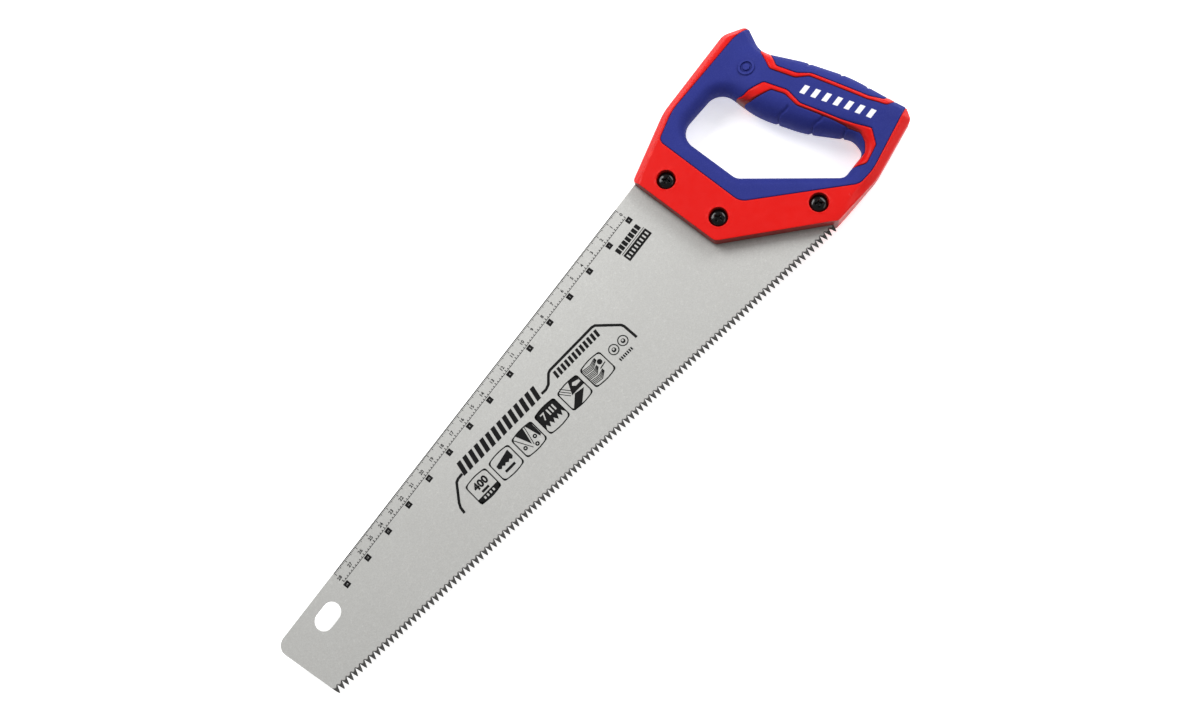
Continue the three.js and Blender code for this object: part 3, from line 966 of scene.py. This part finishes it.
def build_screws():
    dome = []
    for k in range(9):
        angle = math.pi / 2 * k / 8
        rise = (HEAD_TOP - HEAD_UNDER - HEAD_SIDE) * math.sin(angle)
        dome.append((HEAD_RADIUS * math.cos(angle) ** 0.8, HEAD_UNDER + HEAD_SIDE + rise))
    dome[-1] = (0, HEAD_TOP)
    body = lathe([
        (0, SHANK_END), (SHANK_RADIUS - 0.5, SHANK_END), (SHANK_RADIUS, SHANK_END + 0.5),
        (SHANK_RADIUS, HEAD_UNDER), (HEAD_RADIUS - 0.3, HEAD_UNDER),
        (HEAD_RADIUS, HEAD_UNDER + 0.3), *dome,
    ])
    reach = (HEAD_TOP + 0.5, HEAD_TOP - RECESS_DEPTH)
    long_way = wedge(6.4, 1.5, 2.6, 0.9, *reach)
    cross_way = wedge(1.5, 6.4, 0.9, 2.6, *reach)
    middle = wedge(2.6, 2.6, 1.2, 1.2, *reach)
    middle = (turned_about(middle[0], math.radians(45), 0, 0), middle[1])
    turns = [math.radians(degrees) for degrees in HEAD_TURNS]
    set_out("screw", "head", carved(body, [long_way, cross_way, middle]), turns)


def build_nuts():
    body = lathe([
        (0, FLANGE_OUTSIDE), (FLANGE_RADIUS - 1.4, FLANGE_OUTSIDE),
        (FLANGE_RADIUS - 0.6, FLANGE_OUTSIDE + 0.18), (FLANGE_RADIUS - 0.15, FLANGE_OUTSIDE + 0.6),
        (FLANGE_RADIUS, FLANGE_OUTSIDE + 1.1), (FLANGE_RADIUS, FLANGE_UNDER - 0.2),
        (FLANGE_RADIUS - 0.2, FLANGE_UNDER), (SLEEVE_RADIUS, FLANGE_UNDER),
        (SLEEVE_RADIUS, SLEEVE_END - 0.3), (SLEEVE_RADIUS - 0.3, SLEEVE_END),
        (BORE_RADIUS, SLEEVE_END), (BORE_RADIUS, SLEEVE_BORE_END), (0, SLEEVE_BORE_END),
    ])
    slot = wedge(14, 1.5, 14, 1.5, FLANGE_OUTSIDE + 1.2, FLANGE_OUTSIDE - 1)
    set_out("sleeve_nut", "flange", carved(body, [slot]), [SPINE_ANGLE] * len(SCREWS))


build_screws()
build_nuts()

# ---------- ink ----------

INK = 0.03                      # thickness of the print


def local(points, x, y, angle):
    """Points given in a turned frame at (x, y), in the drawing frame."""
    points = np.asarray(points, float)
    cosine, sine = math.cos(angle), math.sin(angle)
    return np.c_[x + points[:, 0] * cosine - points[:, 1] * sine,
                 y + points[:, 0] * sine + points[:, 1] * cosine]


def moved(shapes, x, y, angle):
    """The same shapes, each a list of closed lines, in a turned frame at (x, y)."""
    return [[local(loop, x, y, angle) for loop in loops] for loops in shapes]


def alone(loops):
    """Each closed line as a shape of its own."""
    return [[loop] for loop in loops]


def bar(left, low, right, high, lean=0.0):
    """A bar, with its upper side moved along by lean."""
    return np.array([(left, low), (right, low), (right + lean, high), (left + lean, high)])


def bars(count, pitch, left, low, right, high, lean=0.0):
    """A row of equal bars, the first one with these sides."""
    return [bar(pitch * k + left, low, pitch * k + right, high, lean) for k in range(count)]


def stroke(points, width):
    """The outline of a line of that width."""
    points = np.asarray(points, float)
    left, right = [], []
    for i, point in enumerate(points):
        into = point - points[i - 1] if i else points[1] - point
        out = points[i + 1] - point if i + 1 < len(points) else point - points[i - 1]
        into, out = into / np.linalg.norm(into), out / np.linalg.norm(out)
        normal = np.array([-into[1] - out[1], into[0] + out[0]])
        normal /= 1 + into @ out
        left.append(point + normal * width / 2)
        right.append(point - normal * width / 2)
    return np.array(left + right[::-1])


def numeral(text, height, x=0.0, y=0.0, weight=0.02):
    """The closed outlines of a number, with its middle at (x, y), and its strokes made heavier."""
    curve = bpy.data.curves.new("numeral", "FONT")
    curve.body = text
    curve.resolution_u = 3
    curve.offset = weight
    holder = linked("numeral", curve)
    bpy.context.view_layer.update()
    mesh = bpy.data.meshes.new_from_object(
        holder.evaluated_get(bpy.context.evaluated_depsgraph_get()))
    bpy.data.objects.remove(holder)
    spots = np.array([tuple(v.co)[:2] for v in mesh.vertices])
    shown = {}
    merged = []
    for i, spot in enumerate(spots):
        key = (round(spot[0], 4), round(spot[1], 4))
        merged.append(shown.setdefault(key, i))
    triangles = []
    for polygon in mesh.polygons:
        ring = [merged[v] for v in polygon.vertices]
        triangles += [(ring[0], ring[k], ring[k + 1]) for k in range(1, len(ring) - 1)]
    following = dict(boundary_edges(triangles))
    loops = []
    while following:
        start, step = following.popitem()
        loop = [start]
        while step != start:
            loop.append(step)
            step = following.pop(step)
        loops.append(spots[loop])
    low, high = spots.min(0), spots.max(0)
    scale = height / (high[1] - low[1])
    return [(loop - (low + high) / 2) * scale + np.array([x, y]) for loop in loops]


def ink_solid(name, shapes, material, surface, fill=0.0):
    """One piece of print: each shape is the area that lies inside an odd number of its lines."""
    solids = []
    for loops in shapes:
        loops = [np.asarray(loop) for loop in loops]
        points = np.empty((0, 2))
        if fill:
            low, high = np.vstack(loops).min(0), np.vstack(loops).max(0)
            loops = [spaced(loop, fill) for loop in loops]
            grid = np.meshgrid(np.arange(low[0], high[0], fill), np.arange(low[1], high[1], fill))
            points = np.c_[grid[0].ravel(), grid[1].ravel()]
            points = points[inside(points, loops[0])]
        flat, triangles = triangulated(points, loops)
        centres = flat[triangles].mean(axis=1)
        chosen = np.zeros(len(triangles), bool)
        for loop in loops:
            chosen ^= inside(centres, loop)
        face = surface(flat)
        solids.append(slab(flat, triangles[chosen], face + INK, face - INK))
    return mesh_object(name, *joined(solids), material)


def blade_face(points):
    return np.full(len(points), BLADE_HALF)


RULER_ZERO_X = 318.9
RULER_LENGTH = 280
NUMBER_ROW = 4.8                # from the spine, square to it
HALF_SCALE_ROW = 8.4
SQUARE_ROW = 11.0
SQUARE = 3.7


def ruler_place(loops, along, below):
    """A shape at a place on the ruler: along it from its zero at the handle, below the spine."""
    x = RULER_ZERO_X - along * math.cos(SPINE_ANGLE) + below * math.sin(SPINE_ANGLE)
    y = spine_y(RULER_ZERO_X) - along * math.sin(SPINE_ANGLE) - below * math.cos(SPINE_ANGLE)
    return [local(loop, x, y, SPINE_ANGLE) for loop in loops]


def ruler_shapes():
    """Ticks and numbers for every centimetre, and the half scale with its boxed numbers."""
    shapes = []
    for millimetre in range(RULER_LENGTH + 1):
        length = 2.6 if millimetre % 10 == 0 else 1.9 if millimetre % 5 == 0 else 1.25
        shapes.append(ruler_place([bar(-0.19, -length, 0.19, -0.3)], millimetre, 0))
    for number in range(RULER_LENGTH // 10 + 1):
        shapes.append(ruler_place(numeral(str(number), 2.3, weight=0.03), 10 * number, NUMBER_ROW))
    shapes.append(ruler_place([bar(-RULER_LENGTH - 0.2, -0.42, 0.2, -0.1)], 0, 0))
    shapes.append(ruler_place([bar(-RULER_LENGTH, -0.16, 0, 0.16)], 0, HALF_SCALE_ROW))
    for mark in range(RULER_LENGTH // 2 + 1):
        length = 1.5 if mark % 5 == 0 else 1.0
        shapes.append(ruler_place([bar(-0.26, 0.2, 0.26, length)], 2 * mark, HALF_SCALE_ROW))
    half = SQUARE / 2
    for number in range(RULER_LENGTH // 20 + 1):
        loops = [bar(-half, -half, half, half), *numeral(str(number), 1.1, weight=0.0)]
        shapes.append(ruler_place(loops, 20 * number, SQUARE_ROW))
    return shapes


CAPTION_PLACE = (303.0, 76.9)


def caption_shapes():
    """Two rows of plain bars under the ruler's zero, the lower one light on dark."""
    box = [bar(0, -4.6, 22, 0.9), *bars(8, 2.6, 1.3, -3.2, 2.4, -0.5)]
    shapes = [*alone(bars(7, 3.15, -0.6, 3.0, 1.9, 7.1)), [bar(0, 1.6, 22, 2.0)], box]
    return moved(shapes, *CAPTION_PLACE, SPINE_ANGLE)


PANEL_ANGLE = 0.048
PANEL_STROKE = 1.7
PANEL_LINES = [
    [(126.0, 27.4), (126.3, 31.5), (127.6, 34.4), (134.6, 44.6), (136.6, 45.6), (140.6, 46.2)],
    [(208.6, 49.1), (212.4, 49.2), (215.4, 50.4), (220.2, 55.6), (222.2, 56.4),
     (258.6, 58.3), (260.8, 57.8), (272.6, 47.0), (273.5, 45.0), (274.5, 34.8)],
]
FIRST_SIGN = Vector((145.0, 31.7))
SIGN_STEP = Vector((19.74, 0.96))
SIGN_FRAME = [(-8.6, -7.5, 1.8), (0, -8.7, 30), (8.6, -7.5, 1.8),
              (8.6, 7.5, 1.8), (0, 8.7, 30), (-8.6, 7.5, 1.8)]
SIGN_FRAME_WIDTH = 0.75


def length_sign():
    """The nominal length in millimetres over a dark band."""
    band = [bar(-8.1, -7.6, 8.1, -3.9), *bars(4, 2.4, -4.4, -6.6, -3.2, -4.9)]
    return [[bar(-2.8, -2.9, 2.8, -1.3)], band, numeral("400", 5.4, 0, 2.6, 0.045)]


def saw_sign():
    teeth = [(-6 + 1.5 * k, -0.8 if k % 2 else 0.4) for k in range(9)]
    return alone([[*teeth, (6, 5.4), (-6, 2.6)], bar(-4, -4.6, 4, -2.9)])


def angles_sign():
    """Two dark wedges, two thin lines and three small rings."""
    shapes = alone([
        [(-4.8, 7.4), (1.9, 7.8), (-0.6, -3.2)],
        [(3.6, 7.7), (7.7, 7.2), (7.7, -2.4), (6.4, -3.4)],
        stroke([(-7.6, 6.8), (-1.4, -5.2)], 0.5),
        stroke([(3.0, 7.4), (0.2, -4.2)], 0.5),
    ])
    spots = [(-5.3, -2.2), (3.9, -1.0), (1.8, -5.4)]
    return shapes + [[circle(x, y, 1.4, 20), circle(x, y, 0.5, 12)] for x, y in spots]


def teeth_sign():
    """The number of teeth to an inch, light on a dark toothed shape."""
    teeth = [(-8.1 + 1.62 * k, -4.2 if k % 2 == 0 else -1.2) for k in range(11)]
    outline = [*teeth, (8.1, 7.3), (0, 8.3), (-8.1, 7.3)]
    return [[outline, *numeral("7", 4.8, -3.6, 3.2), *bars(3, 2.3, -0.4, 1.2, 0.7, 5.4)]]


def strips_sign():
    """Two dark strips that cross the frame, the upper one with a light patch, and thin lines."""
    low = [(-8.0, -7.1), (-1.5, -7.8), (6.3, -1.4), (-0.4, -0.3)]
    high = [(-2.2, 0.1), (1.6, 7.9), (7.6, 7.2), (8.1, 0.2)]
    patch = [(1.8, 4.4), (3.2, 5.7), (7.4, 4.4), (7.6, 2.8), (3.6, 2.6)]
    lines = [stroke([(x - 7.4, 6.2 + x), (x - 3.0, 0.4 + x)], 0.5) for x in (0, 1.1, 2.2)]
    return [[low], [high, patch], *alone(lines)]


def boards_sign():
    """Three hatched boards and a knot."""
    lines = []
    for x, y, reach in ((-1.6, 6.0, 5.2), (-2.2, 2.0, 3.6), (-1.8, -2.2, 4.2)):
        for k in range(4):
            front = y - 0.95 * k
            lines.append([(x - 6, front), (x, front - 0.9), (x + reach, y + 0.5 - 0.5 * k)])
    knot = [circle(4.2, 2.6, 1.7, 24), stroke([(1.6, -0.8), (6.6, 0.2)], 0.7)]
    return alone([*(stroke(line, 0.52) for line in lines), *knot])


def panel_shapes():
    """Two rows of bars and six signs inside a line, with two round marks at the end."""
    shapes = alone(stroke(line, PANEL_STROKE) for line in PANEL_LINES)
    shapes += moved(alone(bars(14, 4.86, 0, 0.1, 3.1, 9.0, 1.9)), 140.6, 44.2, PANEL_ANGLE)
    shapes += moved(alone(bars(12, 3.2, 0, 0, 2.0, 4.9, 0.6)), 222.0, 49.3, PANEL_ANGLE)
    frame = [filleted(corners, 4, math.radians(20))
             for corners in (SIGN_FRAME, grown(SIGN_FRAME, -SIGN_FRAME_WIDTH))]
    signs = [length_sign, saw_sign, angles_sign, teeth_sign, strips_sign, boards_sign]
    for k, sign in enumerate(signs):
        shapes += moved([frame, *sign()], *(FIRST_SIGN + SIGN_STEP * k), PANEL_ANGLE)
    for x, y in ((259.1, 38.8), (266.9, 39.1)):
        shapes.append([circle(x, y, 3.5, 32), circle(x, y, 2.8, 32)])
        shapes.append([circle(x, y - 0.2, 1.5, 20), circle(x, y + 0.3, 0.7, 12)])
    return shapes + moved(alone(bars(7, 1.6, -5.5, -1.1, -4.5, 1.0)), 262.9, 31.7, PANEL_ANGLE)


GRIP_BARS_START = Vector((450.6, 76.1))
GRIP_BARS_END = Vector((471.3, 30.8))
GRIP_BAR_COUNT = 7


def grip_bar_shapes():
    """Slanted bars in a row along the face of the grip."""
    along = GRIP_BARS_END - GRIP_BARS_START
    row = bars(GRIP_BAR_COUNT, along.length / GRIP_BAR_COUNT, 0, -2.9, 3.2, 2.9, 1.6)
    return moved(alone(row), *GRIP_BARS_START, math.atan2(along.y, along.x))


ink_solid("ruler_print", ruler_shapes(), BLACK_INK, blade_face)
ink_solid("panel_print", [*caption_shapes(), *panel_shapes()], BLACK_INK, blade_face)
ink_solid("grip_print", grip_bar_shapes(), WHITE_INK, handle_height, fill=0.8)

# ---------- camera, floor and light ----------

CAMERA_PLACE = (-0.01876, -0.18939, 0.80287)
CAMERA_TURN = (9.833, 6.356, -42.47)    # degrees about X, Y and Z; at zero it looks straight down
CAMERA_LENS = 39.72
WORLD_STRENGTH = 0.28
LIGHT_AIM = Vector((0.1, 0, 0))
LIGHT_DISTANCE = 1.5
FLOOR_GLOW = 0.52
FLOOR_HALF = 3.0
SOFTBOXES = [   # name, degrees clockwise from +Y, degrees above the floor, metres, watts
    ("key", -4, 46, 0.9, 15.0),
    ("key_right", 82, 38, 0.9, 11.0),
    ("fill_left", -95, 38, 1.0, 2.8),
    ("fill_front", 135, 40, 1.0, 5.0),
]


def build_camera():
    data = bpy.data.cameras.new("camera")
    data.lens = CAMERA_LENS
    data.sensor_width = 36
    data.clip_start = 0.01
    data.clip_end = 20
    camera = linked("camera", data)
    camera.location = CAMERA_PLACE
    camera.rotation_euler = [math.radians(angle) for angle in CAMERA_TURN]
    bpy.context.scene.camera = camera


def build_floor():
    material, tree, surface = shader("pale_floor")
    body = mixed(tree, noise(tree, 90, 3), linear(250, 250, 250), linear(246, 246, 247))
    tree.links.new(body, surface.inputs["Base Color"])
    surface.inputs["Roughness"].default_value = 0.8
    surface.inputs["Specular IOR Level"].default_value = 0.2
    surface.inputs["Emission Color"].default_value = (1, 1, 1, 1)
    surface.inputs["Emission Strength"].default_value = FLOOR_GLOW
    mesh = bpy.data.meshes.new("floor")
    corners = [(x * FLOOR_HALF, y * FLOOR_HALF, 0) for x, y in ((-1, -1), (1, -1), (1, 1), (-1, 1))]
    mesh.from_pydata(corners, [], [(0, 1, 2, 3)])
    mesh.materials.append(material)
    floor = linked("floor", mesh)


def build_light():
    world = bpy.data.worlds.new("studio")
    bpy.context.scene.world = world
    world.use_nodes = True
    background = world.node_tree.nodes["Background"]
    background.inputs["Color"].default_value = (1, 1, 1, 1)
    background.inputs["Strength"].default_value = WORLD_STRENGTH
    for name, azimuth, elevation, size, power in SOFTBOXES:
        turn, rise = math.radians(azimuth), math.radians(elevation)
        spot = Vector((math.sin(turn) * math.cos(rise), math.cos(turn) * math.cos(rise),
                       math.sin(rise)))
        data = bpy.data.lights.new(name, "AREA")
        data.shape = "DISK"
        data.size = size
        data.energy = power
        lamp = linked(name, data)
        lamp.location = LIGHT_AIM + spot * LIGHT_DISTANCE
        lamp.rotation_mode = "QUATERNION"
        lamp.rotation_quaternion = (-spot).to_track_quat("-Z", "Y")
    view = bpy.context.scene.view_settings
    view.view_transform = "Standard"
    view.look = "None"


build_camera()
build_floor()
build_light()
